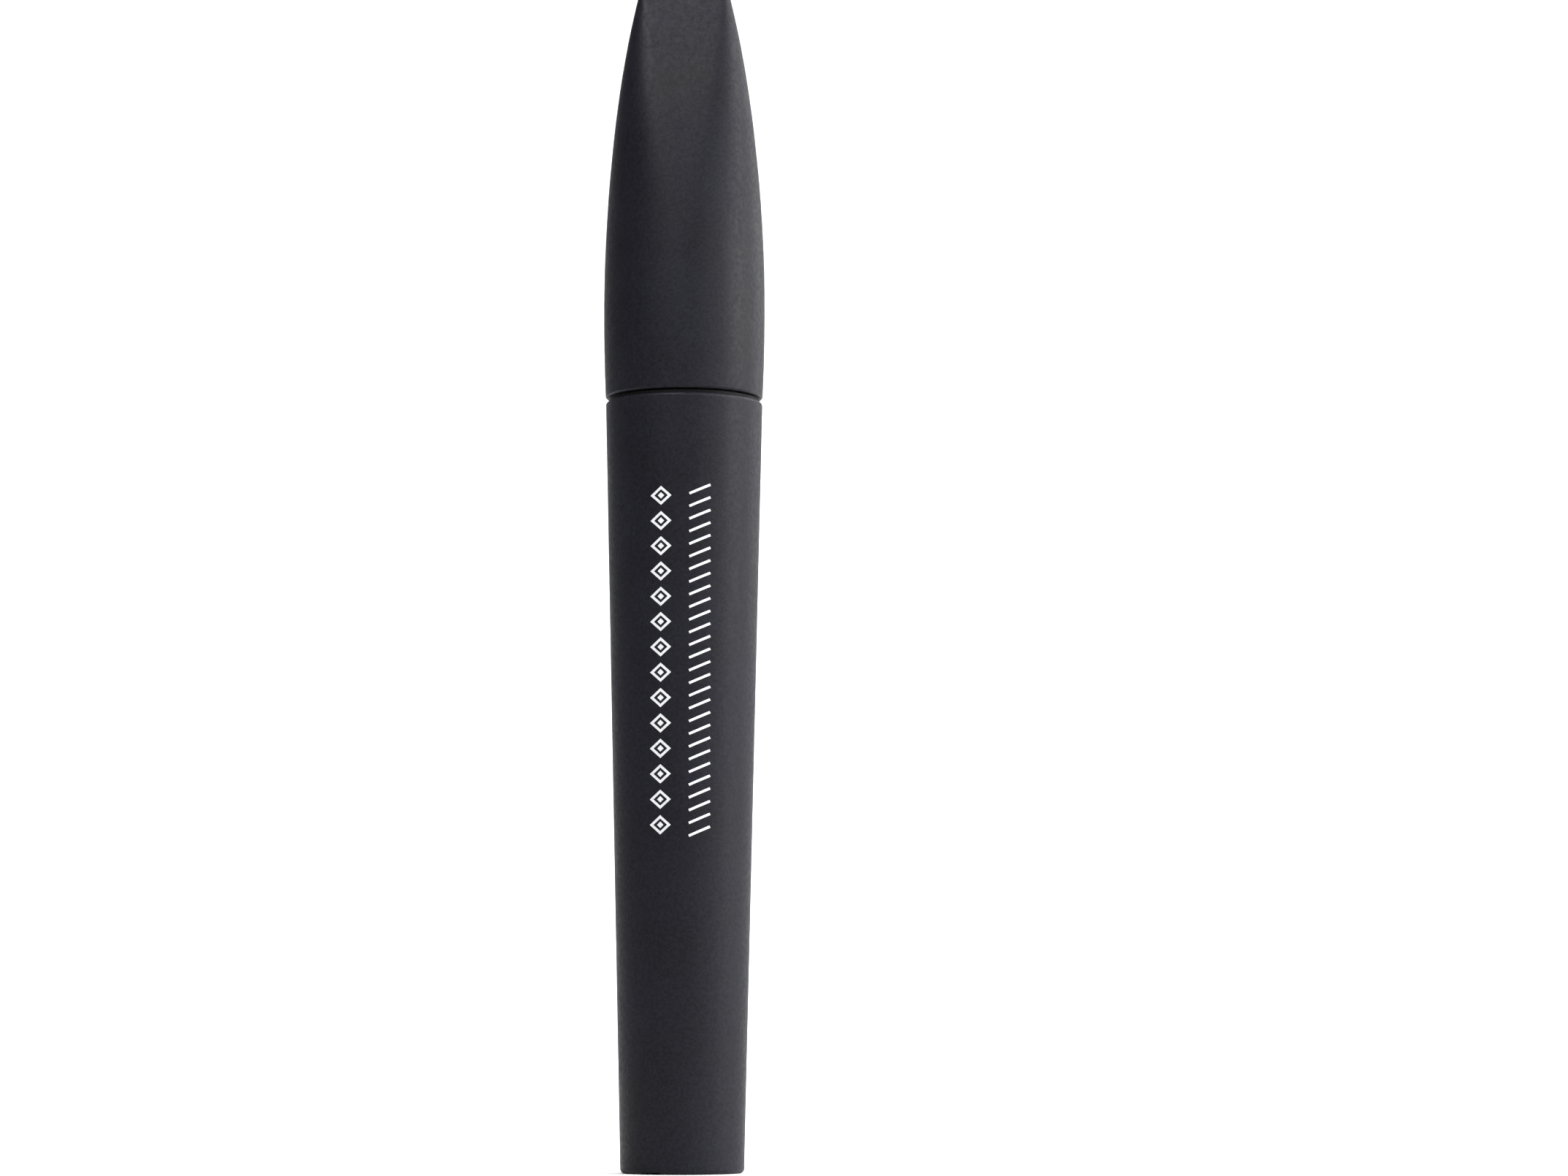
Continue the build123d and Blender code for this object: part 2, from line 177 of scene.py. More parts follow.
# ---------------------------------------------------------------- finishes
def soft_touch_lacquer(name, dark, light, grain):
    """ABS moulding under a sprayed polyurethane soft-touch lacquer.

    Gives the eye a matt, rubbery black with no sharp highlight: light slides round it as one
    broad soft band, edges lift a little, and the spray leaves a fine grain, with painted shade in
    its pits and painted highlight on its crests."""

    def build(tree):
        place = in_millimetres(tree)
        # spray droplets are about 0.05 mm; drawn coarser, at the grain setting, to show
        fine = add(tree, "ShaderNodeTexNoise",
                   {"Vector": place, "Scale": 1 / grain, "Detail": 3, "Roughness": 0.65})
        # lacquer thickness drifts over about a centimetre
        drift = add(tree, "ShaderNodeTexNoise",
                    {"Vector": place, "Scale": 1 / 9, "Detail": 2, "Roughness": 0.4})
        # single coarser flecks of matting agent
        fleck = add(tree, "ShaderNodeTexNoise", {"Vector": place, "Scale": 1 / 0.5, "Detail": 1})
        amount = add(tree, "ShaderNodeMapRange", {0: drift, 1: 0.35, 2: 0.65, 3: 0, 4: 1})
        base = add(tree, "ShaderNodeMix", {0: amount, 6: dark, 7: light}, 2, data_type="RGBA")
        # the base colour darkens in the grain's pits and lifts on its crests: partly the lacquer's
        # own mottle, partly painted shade in the pits and painted highlight on the crests
        grain_and_pit_shade = add(tree, "ShaderNodeMapRange", {0: fine, 1: 0.38, 2: 0.64, 3: 0.62, 4: 1.42})
        grained = add(tree, "ShaderNodeVectorMath", {0: base, 3: grain_and_pit_shade}, operation="SCALE")
        matt = add(tree, "ShaderNodeMapRange", {0: drift, 1: 0.35, 2: 0.65, 3: 0.50, 4: 0.56})
        uneven = add(tree, "ShaderNodeMapRange", {0: fleck, 1: 0.35, 2: 0.65, 3: -0.05, 4: 0.05})
        rough = add(tree, "ShaderNodeMath", {0: matt, 1: uneven}, operation="ADD")
        grain_bump = add(tree, "ShaderNodeBump",
                         {"Height": fine, "Distance": 0.016 * MM, "Strength": 0.9})
        normal = add(tree, "ShaderNodeBump",
                     {"Height": drift, "Distance": 0.03 * MM, "Strength": 0.3,
                      "Normal": grain_bump})
        return {"Base Color": grained, "Roughness": rough, "Normal": normal}

    constants = {
        "IOR": 1.48,
        # the matting agent breaks up most of the mirror reflection
        "Specular IOR Level": 0.2,
        "Sheen Weight": 0.02,
        "Sheen Roughness": 0.4,
        "Sheen Tint": "#c8cbdc",
    }
    return finish(name, constants, build)


def moulded_polypropylene(name, dark, light, smooth, rubbed, flow_width, polish=0.2):
    """Polypropylene injection-moulded in a steel tool; polish is the gloss the tool gave it.

    Gives the eye clear dark reflections that waver slightly along the flow, and fine dull
    rub marks running with the draw of the tool. With no polish it is a dead matt black."""

    def build(tree):
        flow = add(tree, "ShaderNodeTexNoise",
                   {"Vector": in_millimetres(tree, (1, 1, 0.12)), "Scale": 1 / flow_width,
                    "Detail": 2})
        # rub marks about 0.3 mm wide and four times as long
        rub = add(tree, "ShaderNodeTexNoise",
                  {"Vector": in_millimetres(tree, (1, 1, 0.25)), "Scale": 1 / 0.3, "Detail": 3,
                   "Roughness": 0.6})
        # orange peel of the polished tool, about 1.6 mm across
        peel = add(tree, "ShaderNodeTexNoise",
                   {"Vector": in_millimetres(tree), "Scale": 1 / 1.6, "Detail": 1})
        amount = add(tree, "ShaderNodeMapRange", {0: flow, 1: 0.35, 2: 0.65, 3: 0, 4: 1})
        base = add(tree, "ShaderNodeMix", {0: amount, 6: dark, 7: light}, 2, data_type="RGBA")
        rough = add(tree, "ShaderNodeMapRange", {0: rub, 1: 0.45, 2: 0.72, 3: smooth, 4: rubbed})
        flow_bump = add(tree, "ShaderNodeBump",
                        {"Height": flow, "Distance": 0.004 * MM, "Strength": 0.4})
        normal = add(tree, "ShaderNodeBump",
                     {"Height": peel, "Distance": 0.006 * MM, "Strength": 0.3, "Normal": flow_bump})
        return {"Base Color": base, "Roughness": rough, "Normal": normal}

    constants = {
        "IOR": 1.49,
        "Specular IOR Level": 0.15 + 1.75 * polish,
        "Coat Weight": polish,
        "Coat Roughness": 0.06,
    }
    return finish(name, constants, build)


def moulded_polyethylene(name, dark, light):
    """Low-density polyethylene, injection-moulded, with mascara wiped off inside it.

    Gives the eye a waxy satin grey flange, wet black where the rod passes."""

    def build(tree):
        haze = add(tree, "ShaderNodeTexNoise",
                   {"Vector": in_millimetres(tree), "Scale": 1 / 0.7, "Detail": 3,
                    "Roughness": 0.6})
        smear = add(tree, "ShaderNodeTexNoise",
                    {"Vector": in_millimetres(tree, (1, 1, 0.35)), "Scale": 1 / 0.9, "Detail": 3})
        shift = add(tree, "ShaderNodeMapRange", {0: smear, 1: 0.3, 2: 0.7, 3: -0.5, 4: 0.5})
        edge = add(tree, "ShaderNodeMath", {0: off_axis(tree), 1: shift}, operation="ADD")
        # wiped paste reaches about 4.2 mm out from the axis
        wet = add(tree, "ShaderNodeMapRange", {0: edge, 1: 4.0, 2: 4.5, 3: 1, 4: 0})
        amount = add(tree, "ShaderNodeMapRange", {0: haze, 1: 0.35, 2: 0.65, 3: 0, 4: 1})
        clean = add(tree, "ShaderNodeMix", {0: amount, 6: dark, 7: light}, 2, data_type="RGBA")
        base = add(tree, "ShaderNodeMix", {0: wet, 6: clean, 7: "#070708"}, 2, data_type="RGBA")
        rough = add(tree, "ShaderNodeMapRange", {0: wet, 1: 0, 2: 1, 3: 0.42, 4: 0.13})
        normal = add(tree, "ShaderNodeBump",
                     {"Height": smear, "Distance": 0.04 * MM, "Strength": 0.5})
        return {"Base Color": base, "Roughness": rough, "Normal": normal}

    return finish(name, {"IOR": 1.51}, build)


def foamed_polyethylene(name, light, shade):
    """Closed-cell polyethylene foam, die-cut from sheet.

    Gives the eye a chalky ring of tiny cells with painted shade in their hollows, stained black
    along its inner edge."""

    def build(tree):
        place = in_millimetres(tree)
        # cells about 0.2 mm across
        cells = add(tree, "ShaderNodeTexVoronoi", {"Vector": place, "Scale": 1 / 0.2})
        blotch = add(tree, "ShaderNodeTexNoise",
                     {"Vector": place, "Scale": 1 / 0.8, "Detail": 3, "Roughness": 0.6})
        # each cell is drawn darker towards its middle, where its bump is lowest: painted shade in
        # the cell hollows
        amount = add(tree, "ShaderNodeMapRange", {0: cells, 1: 0, 2: 0.6, 3: 0.6, 4: 0})
        chalk_and_cell_shade = add(tree, "ShaderNodeMix", {0: amount, 6: light, 7: shade}, 2, data_type="RGBA")
        shift = add(tree, "ShaderNodeMapRange", {0: blotch, 1: 0.3, 2: 0.7, 3: -0.3, 4: 0.3})
        edge = add(tree, "ShaderNodeMath", {0: off_axis(tree), 1: shift}, operation="ADD")
        stain = add(tree, "ShaderNodeMapRange", {0: edge, 1: 3.4, 2: 4.0, 3: 0.93, 4: 0})
        base = add(tree, "ShaderNodeMix", {0: stain, 6: chalk_and_cell_shade, 7: "#161517"}, 2, data_type="RGBA")
        rough = add(tree, "ShaderNodeMapRange", {0: blotch, 1: 0.3, 2: 0.7, 3: 0.75, 4: 0.9})
        normal = add(tree, "ShaderNodeBump",
                     {"Height": cells, "Distance": 0.05 * MM, "Strength": 0.6})
        return {"Base Color": base, "Roughness": rough, "Normal": normal}

    return finish(name, {"IOR": 1.45}, build)


def drawn_stainless_steel(name, bright, dull):
    """Stainless steel wire, drawn through a die and twisted.

    Gives the eye bright silver ridges with fine lines along them, and is drawn black and not
    metallic in the groove where the strands meet."""

    def build(tree):
        # die lines are microns wide; drawn 0.08 mm wide to show
        lines = add(tree, "ShaderNodeTexNoise",
                    {"Vector": in_millimetres(tree, (1, 1, 0.3)), "Scale": 1 / 0.08, "Detail": 2})
        groove_wobble = add(tree, "ShaderNodeTexNoise",
                    {"Vector": in_millimetres(tree), "Scale": 1 / 0.4, "Detail": 3,
                     "Roughness": 0.6})
        shift = add(tree, "ShaderNodeMapRange", {0: groove_wobble, 1: 0.3, 2: 0.7, 3: -0.08, 4: 0.10})
        depth = add(tree, "ShaderNodeMath", {0: off_axis(tree), 1: shift}, operation="ADD")
        # the groove's bottom is 0.1 mm from the axis and a strand's crest 0.58 mm
        # the surface is drawn black and not metallic within about 0.3 mm of the axis, along the
        # groove where the strands meet
        groove_black = add(tree, "ShaderNodeMapRange", {0: depth, 1: 0.26, 2: 0.36, 3: 1, 4: 0})
        amount = add(tree, "ShaderNodeMapRange", {0: lines, 1: 0.35, 2: 0.65, 3: 0, 4: 1})
        steel = add(tree, "ShaderNodeMix", {0: amount, 6: bright, 7: dull}, 2, data_type="RGBA")
        base = add(tree, "ShaderNodeMix", {0: groove_black, 6: steel, 7: "#0a0a0b"}, 2, data_type="RGBA")
        drawn = add(tree, "ShaderNodeMapRange", {0: lines, 1: 0.35, 2: 0.65, 3: 0.27, 4: 0.40})
        metal = add(tree, "ShaderNodeMapRange", {0: groove_black, 1: 0, 2: 1, 3: 1, 4: 0})
        normal = add(tree, "ShaderNodeBump",
                     {"Height": lines, "Distance": 0.005 * MM, "Strength": 0.4})
        return {"Base Color": base, "Roughness": drawn, "Metallic": metal, "Normal": normal}

    return finish(name, {}, build)


def extruded_nylon(name, dark, crumb):
    """Nylon 6.12 filament, extruded and cut, thinly coated with mascara.

    Gives the eye glossy black threads with small wet glints and dull dried crumbs."""

    def build(tree):
        place = in_millimetres(tree)
        # crumbs of dried paste about 0.15 mm across
        crumbs = add(tree, "ShaderNodeTexNoise",
                     {"Vector": place, "Scale": 1 / 0.15, "Detail": 2, "Roughness": 0.6})
        coat = add(tree, "ShaderNodeTexNoise", {"Vector": place, "Scale": 1 / 0.9, "Detail": 2})
        lumps = add(tree, "ShaderNodeMapRange", {0: crumbs, 1: 0.52, 2: 0.70, 3: 0, 4: 1})
        base = add(tree, "ShaderNodeMix", {0: lumps, 6: dark, 7: crumb}, 2, data_type="RGBA")
        wet = add(tree, "ShaderNodeMapRange", {0: coat, 1: 0.35, 2: 0.65, 3: 0.14, 4: 0.30})
        dry = add(tree, "ShaderNodeMath", {0: lumps, 1: 0.3, 2: wet}, operation="MULTIPLY_ADD")
        normal = add(tree, "ShaderNodeBump",
                     {"Height": crumbs, "Distance": 0.03 * MM, "Strength": 0.6})
        return {"Base Color": base, "Roughness": dry, "Normal": normal}

    return finish(name, {"IOR": 1.53, "Coat Weight": 0.3, "Coat Roughness": 0.1}, build)


def wax_emulsion(name, dark, light):
    """Mascara: waxes and carbon black emulsified in water, stirred by the brush.

    Gives the eye a dense wet black, pulled into ridges."""

    def build(tree):
        lumps = add(tree, "ShaderNodeTexNoise",
                    {"Vector": in_millimetres(tree), "Scale": 1 / 1.2, "Detail": 4,
                     "Roughness": 0.6})
        drag = add(tree, "ShaderNodeTexNoise",
                   {"Vector": in_millimetres(tree, (1, 1, 0.15)), "Scale": 1 / 0.35, "Detail": 3})
        amount = add(tree, "ShaderNodeMapRange", {0: lumps, 1: 0.35, 2: 0.65, 3: 0, 4: 1})
        base = add(tree, "ShaderNodeMix", {0: amount, 6: dark, 7: light}, 2, data_type="RGBA")
        rough = add(tree, "ShaderNodeMapRange", {0: drag, 1: 0.35, 2: 0.65, 3: 0.12, 4: 0.34})
        lump_bump = add(tree, "ShaderNodeBump",
                        {"Height": lumps, "Distance": 0.25 * MM, "Strength": 0.6})
        normal = add(tree, "ShaderNodeBump",
                     {"Height": drag, "Distance": 0.1 * MM, "Strength": 0.5, "Normal": lump_bump})
        return {"Base Color": base, "Roughness": rough, "Normal": normal}

    return finish(name, {"IOR": 1.46, "Coat Weight": 0.5, "Coat Roughness": 0.05}, build)


def screen_printed_ink(name, ink, thin):
    """White two-part epoxy ink, screen-printed.

    Gives the eye a dense satin white, a little thinner where the mesh left less ink."""

    def build(tree):
        place = in_millimetres(tree)
        # the screen's mesh leaves marks about 0.2 mm apart
        film = add(tree, "ShaderNodeTexNoise",
                   {"Vector": place, "Scale": 1 / 0.2, "Detail": 2, "Roughness": 0.6})
        wear = add(tree, "ShaderNodeTexNoise", {"Vector": place, "Scale": 1 / 1.4, "Detail": 3})
        mesh = add(tree, "ShaderNodeMapRange", {0: film, 1: 0.35, 2: 0.65, 3: 0, 4: 0.4})
        rubbed = add(tree, "ShaderNodeMapRange", {0: wear, 1: 0.55, 2: 0.75, 3: 0, 4: 0.6})
        amount = add(tree, "ShaderNodeMath", {0: mesh, 1: rubbed}, operation="MAXIMUM")
        base = add(tree, "ShaderNodeMix", {0: amount, 6: ink, 7: thin}, 2, data_type="RGBA")
        rough = add(tree, "ShaderNodeMapRange", {0: film, 1: 0.35, 2: 0.65, 3: 0.45, 4: 0.6})
        normal = add(tree, "ShaderNodeBump",
                     {"Height": film, "Distance": 0.006 * MM, "Strength": 0.4})
        return {"Base Color": base, "Roughness": rough, "Normal": normal}

    return finish(name, {"IOR": 1.5}, build)


def matt_paper(name, light, shade):
    """Seamless background paper, uncoated.

    Gives the eye an even pale sheet with the faintest fibre."""

    def build(tree):
        fibre = add(tree, "ShaderNodeTexNoise",
                    {"Vector": in_millimetres(tree), "Scale": 1 / 1.5, "Detail": 3,
                     "Roughness": 0.6})
        amount = add(tree, "ShaderNodeMapRange", {0: fibre, 1: 0.35, 2: 0.65, 3: 0, 4: 1})
        base = add(tree, "ShaderNodeMix", {0: amount, 6: light, 7: shade}, 2, data_type="RGBA")
        rough = add(tree, "ShaderNodeMapRange", {0: fibre, 1: 0.35, 2: 0.65, 3: 0.88, 4: 0.95})
        return {"Base Color": base, "Roughness": rough}

    return finish(name, {"IOR": 1.3}, build)


# ---------------------------------------------------------------- mesh helpers
def clear_selection():
    """Leaves edit mode and deselects everything."""
    if bpy.context.object and bpy.context.object.mode != "OBJECT":
        bpy.ops.object.mode_set(mode="OBJECT")
    bpy.ops.object.select_all(action="DESELECT")


def select_only(obj):
    """Makes obj the only selected object and the active one."""
    clear_selection()
    obj.select_set(True)
    bpy.context.view_layer.objects.active = obj


def pick(obj, wanted, kind="verts"):
    """In edit mode, selects exactly the verts, edges or faces for which wanted(element) holds."""
    mesh = bmesh.from_edit_mesh(obj.data)
    for face in mesh.faces:
        face.select_set(False)
    for edge in mesh.edges:
        edge.select_set(False)
    for vert in mesh.verts:
        vert.select_set(False)
    for element in getattr(mesh, kind):
        if wanted(element):
            element.select_set(True)
    mesh.select_flush_mode()
    bmesh.update_edit_mesh(obj.data)


def join_as(parts, name):
    """Joins mesh objects into one, named, with its origin at the frame's origin."""
    clear_selection()
    for part in parts:
        part.select_set(True)
    bpy.context.view_layer.objects.active = parts[0]
    bpy.ops.object.join()
    joined = bpy.context.object
    joined.name = name
    joined.data.name = name
    bpy.ops.object.transform_apply(location=True, rotation=True, scale=True)
    return joined


def apply_all_modifiers(obj):
    """Applies the modifiers of obj in their order."""
    select_only(obj)
    for modifier in list(obj.modifiers):
        bpy.ops.object.modifier_apply(modifier=modifier.name)


def dress(node, material):
    """Gives a CAD node its finish."""
    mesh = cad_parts[node].data
    mesh.materials.clear()
    mesh.materials.append(material)


def settings():
    """The sizes, colours and powers that the panel shows."""
    return bpy.context.scene.mascara_finish


# ---------------------------------------------------------------- properties
class MascaraFinishSettings(bpy.types.PropertyGroup):
    lacquer: bpy.props.FloatVectorProperty(
        name="Lacquer", description="Colour of the soft-touch lacquer",
        subtype="COLOR", size=4, min=0, max=1, default=linear("#0f0f16"),
    )
    lacquer_tint: bpy.props.FloatVectorProperty(
        name="Lacquer tint", description="Second colour that the lacquer drifts towards",
        subtype="COLOR", size=4, min=0, max=1, default=linear("#12121b"),
    )
    grain: bpy.props.FloatProperty(
        name="Grain", description="Size of the lacquer's sprayed grain",
        default=0.30 * MM, min=0.05 * MM, max=1.0 * MM, unit="LENGTH", precision=5,
    )
    ink: bpy.props.FloatVectorProperty(
        name="Ink", description="Colour of the printed ornament",
        subtype="COLOR", size=4, min=0, max=1, default=linear("#dadadc"),
    )
    ink_stroke: bpy.props.FloatProperty(
        name="Stroke", description="Width of a printed stroke",
        default=0.27 * MM, min=0.05 * MM, max=1 * MM, unit="LENGTH", precision=5,
    )
    filament_radius: bpy.props.FloatProperty(
        name="Filament radius", description="Radius of one brush filament",
        default=0.062 * MM, min=0.01 * MM, max=0.2 * MM, unit="LENGTH", precision=6,
    )
    filaments_per_turn: bpy.props.IntProperty(
        name="Filaments per turn", description="Filaments caught in one turn of the wire",
        default=92, min=8, max=200,
    )
    stray_share: bpy.props.FloatProperty(
        name="Stray share", description="Share of the filaments that stand out of their row",
        default=0.07, min=0, max=1, subtype="FACTOR",
    )
    strand_pitch: bpy.props.FloatProperty(
        name="Strand pitch", description="Height of one full turn of the wire's strands",
        default=3.4 * MM, min=1 * MM, max=10 * MM, unit="LENGTH", precision=5,
    )
    camera_back: bpy.props.FloatProperty(
        name="Camera distance", description="From the tube's axis to the camera",
        default=0.460, min=0.1, max=5, unit="LENGTH",
    )
    camera_height: bpy.props.FloatProperty(
        name="Camera height", description="Height of the camera above the floor",
        default=0.014, min=0, max=2, unit="LENGTH",
    )
    camera_tilt: bpy.props.FloatProperty(
        name="Camera tilt", description="How far the camera looks up",
        default=math.radians(6.222), subtype="ANGLE",
    )
    key_power: bpy.props.FloatProperty(
        name="Key light", description="Power of the softbox on the right, in watts",
        default=7.4, min=0, max=500,
    )
    strip_power: bpy.props.FloatProperty(
        name="Strip light", description="Power of the narrow strip at the front right, in watts",
        default=1.5, min=0, max=500,
    )
    top_power: bpy.props.FloatProperty(
        name="Top light", description="Power of the softbox above the front, in watts",
        default=0.19, min=0, max=500,
    )
    rim_power: bpy.props.FloatProperty(
        name="Rim light", description="Power of the softbox behind on the right, in watts",
        default=2.1, min=0, max=500,
    )
    paper_power: bpy.props.FloatProperty(
        name="Paper light", description="Power of the light that washes the paper, in watts",
        default=15.5, min=0, max=1000,
    )
    room_light: bpy.props.FloatProperty(
        name="Room light", description="Brightness of the room around the set",
        default=0.16, min=0, max=10,
    )


# ---------------------------------------------------------------- operators
class MASCARA_OT_shell(bpy.types.Operator):
    """Soft-touch lacquer on the tube's outer sleeve and on the overcap"""

    bl_idname = "mascara.shell"
    bl_label = "Tube and Cap Lacquer"

    def execute(self, context):
        s = settings()
        lacquer = soft_touch_lacquer(
            "soft_touch_lacquer", tuple(s.lacquer), tuple(s.lacquer_tint), s.grain / MM
        )
        for node in ("outer_sleeve", "overcap"):
            dress(node, lacquer)
        return {"FINISHED"}


class MASCARA_OT_closure(bpy.types.Operator):
    """Moulded plastics of the bottle, collar and inner cap, with the wiper and the foam seal"""

    bl_idname = "mascara.closure"
    bl_label = "Bottle, Neck and Closure"

    def execute(self, context):
        # the collar shows only as the dark line between tube and cap; its black is drawn darker
        # than the other mouldings, painted shade in the seam
        matt = moulded_polypropylene(
            "matt_polypropylene", "#050506", "#08080a", 0.60, 0.70, 2.4, polish=0.0
        )
        gloss = moulded_polypropylene("gloss_polypropylene", "#0d0d0f", "#131315", 0.10, 0.22, 2.4)
        semi = moulded_polypropylene("bottle_polypropylene", "#161618", "#1d1d20", 0.22, 0.36, 2.8)
        dress("collar", matt)
        dress("inner_cap", gloss)
        dress("inner_bottle", semi)
        dress("wiper", moulded_polyethylene("wiper_polyethylene", "#333336", "#48484c"))
        dress("seal_washer", foamed_polyethylene("foamed_polyethylene", "#cfccc4", "#9f9b92"))
        return {"FINISHED"}


class MASCARA_OT_wand(bpy.types.Operator):
    """Gloss rod, bright twisted wire and the mascara they stand in"""

    bl_idname = "mascara.wand"
    bl_label = "Wand and Mascara"

    def execute(self, context):
        rod = moulded_polypropylene("rod_polypropylene", "#0b0b0c", "#101011", 0.08, 0.16, 1.8)
        dress("rod", rod)
        dress("core_wire", drawn_stainless_steel("drawn_stainless_steel", "#eeeff1", "#bfc0c4"))
        dress("mascara_paste", wax_emulsion("wax_emulsion", "#080809", "#161517"))
        return {"FINISHED"}


class MASCARA_OT_brush(bpy.types.Operator):
    """Nylon filaments caught between the twisted strands, in place of the plain envelope"""

    bl_idname = "mascara.brush"
    bl_label = "Brush Filaments"

    def master(self, name, bow, radius, length):
        """One filament along +X, thinner and bowed sideways towards its tip."""
        clear_selection()
        bpy.ops.mesh.primitive_cylinder_add(
            vertices=5, radius=radius, depth=length, location=(length / 2, 0, 0),
            rotation=(0, math.pi / 2, 0),
        )
        stem = bpy.context.object
        stem.name = name
        bpy.ops.object.transform_apply(location=True, rotation=True, scale=True)
        bpy.ops.object.mode_set(mode="EDIT")
        for cut in BEND_AT:
            bpy.ops.mesh.select_all(action="SELECT")
            bpy.ops.mesh.bisect(plane_co=(cut * length, 0, 0), plane_no=(1, 0, 0))
        for cut in BEND_AT + (1.0,):
            pick(stem, lambda v: abs(v.co.x - cut * length) < 0.02 * length)
            bpy.ops.transform.translate(value=(0, 0, bow * cut * cut))
            taper = 1.0 - THINNING * cut
            bpy.ops.transform.resize(
                value=(1, taper, taper), center_override=(cut * length, 0, bow * cut * cut)
            )
        bpy.ops.object.mode_set(mode="OBJECT")
        bpy.ops.object.shade_smooth()
        return stem

    def execute(self, context):
        s = settings()
        dice = random.Random(BRUSH_SEED)
        low, high = BRUSH_LOW.z, BRUSH_HIGH.z
        full = BRUSH_HIGH.x
        masters = [
            self.master(f"filament_{k}", bow * MM, s.filament_radius, full - ROOT)
            for k, bow in enumerate(BOWS)
        ]
        count = int((high - low) / s.strand_pitch * s.filaments_per_turn)
        made = []
        lean = swing = 0.0
        for k in range(count):
            level = low + (high - low) * (k + 0.5 + dice.uniform(-0.3, 0.3)) / count
            if k % TUFT == 0:
                lean = dice.gauss(0, TUFT_LEAN)
                swing = dice.gauss(0, TUFT_SWING)
            # filaments stand square to the line through the two strands
            turn = math.pi / 2 - 2 * math.pi * (level - low) / s.strand_pitch
            reach = full
            if level < low + TAPER_LENGTH:
                reach = TIP_REACH + (full - TIP_REACH) * (level - low) / TAPER_LENGTH
            if level > high - TOP_BAND:
                reach = full - TOP_TRIM
            for side in (0, 1):
                stray = dice.random() < s.stray_share
                tilt = lean + dice.gauss(0, LEAN)
                around = swing + dice.gauss(0, SWING)
                length = reach * dice.uniform(*LENGTHS)
                if stray:
                    tilt += dice.gauss(0, STRAY_LEAN)
                    around += dice.gauss(0, STRAY_SWING)
                    length *= dice.uniform(*STRAY_LENGTHS)
                # a leaning filament may not leave the brush's height
                rise = -math.sin(math.radians(tilt)) * length
                if not low + END_MARGIN < level + rise < high - END_MARGIN:
                    tilt *= 0.1
                span = (length - ROOT) / (full - ROOT)
                place = (
                    Matrix.Translation((0, 0, level))
                    @ Matrix.Rotation(turn + side * math.pi + math.radians(around), 4, "Z")
                    @ Matrix.Rotation(math.radians(tilt), 4, "Y")
                    @ Matrix.Translation((ROOT, 0, 0))
                    @ Matrix.Rotation(dice.uniform(0, 2 * math.pi), 4, "X")
                    @ Matrix.Diagonal((span, 1, 1, 1))
                )
                mesh = masters[dice.randrange(len(masters))].data.copy()
                mesh.transform(place)
                copy = bpy.data.objects.new(f"filament_{k}_{side}", mesh)
                context.scene.collection.objects.link(copy)
                made.append(copy)
        for one in masters:
            bpy.data.objects.remove(one)
        brush = join_as(made, "brush_filaments")
        # a bowed tip may dip past the brush's ends
        for vert in brush.data.vertices:
            vert.co.z = min(max(vert.co.z, low), high)
        brush.data.materials.clear()
        brush.data.materials.append(extruded_nylon("extruded_nylon", "#070708", "#1d1d20"))
        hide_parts("bristles")
        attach(brush, "applicator")
        widest = max(math.hypot(v.co.x, v.co.y) for v in brush.data.vertices)
        if widest > full:
            raise RuntimeError("filaments reach outside the brush")
        return {"FINISHED"}


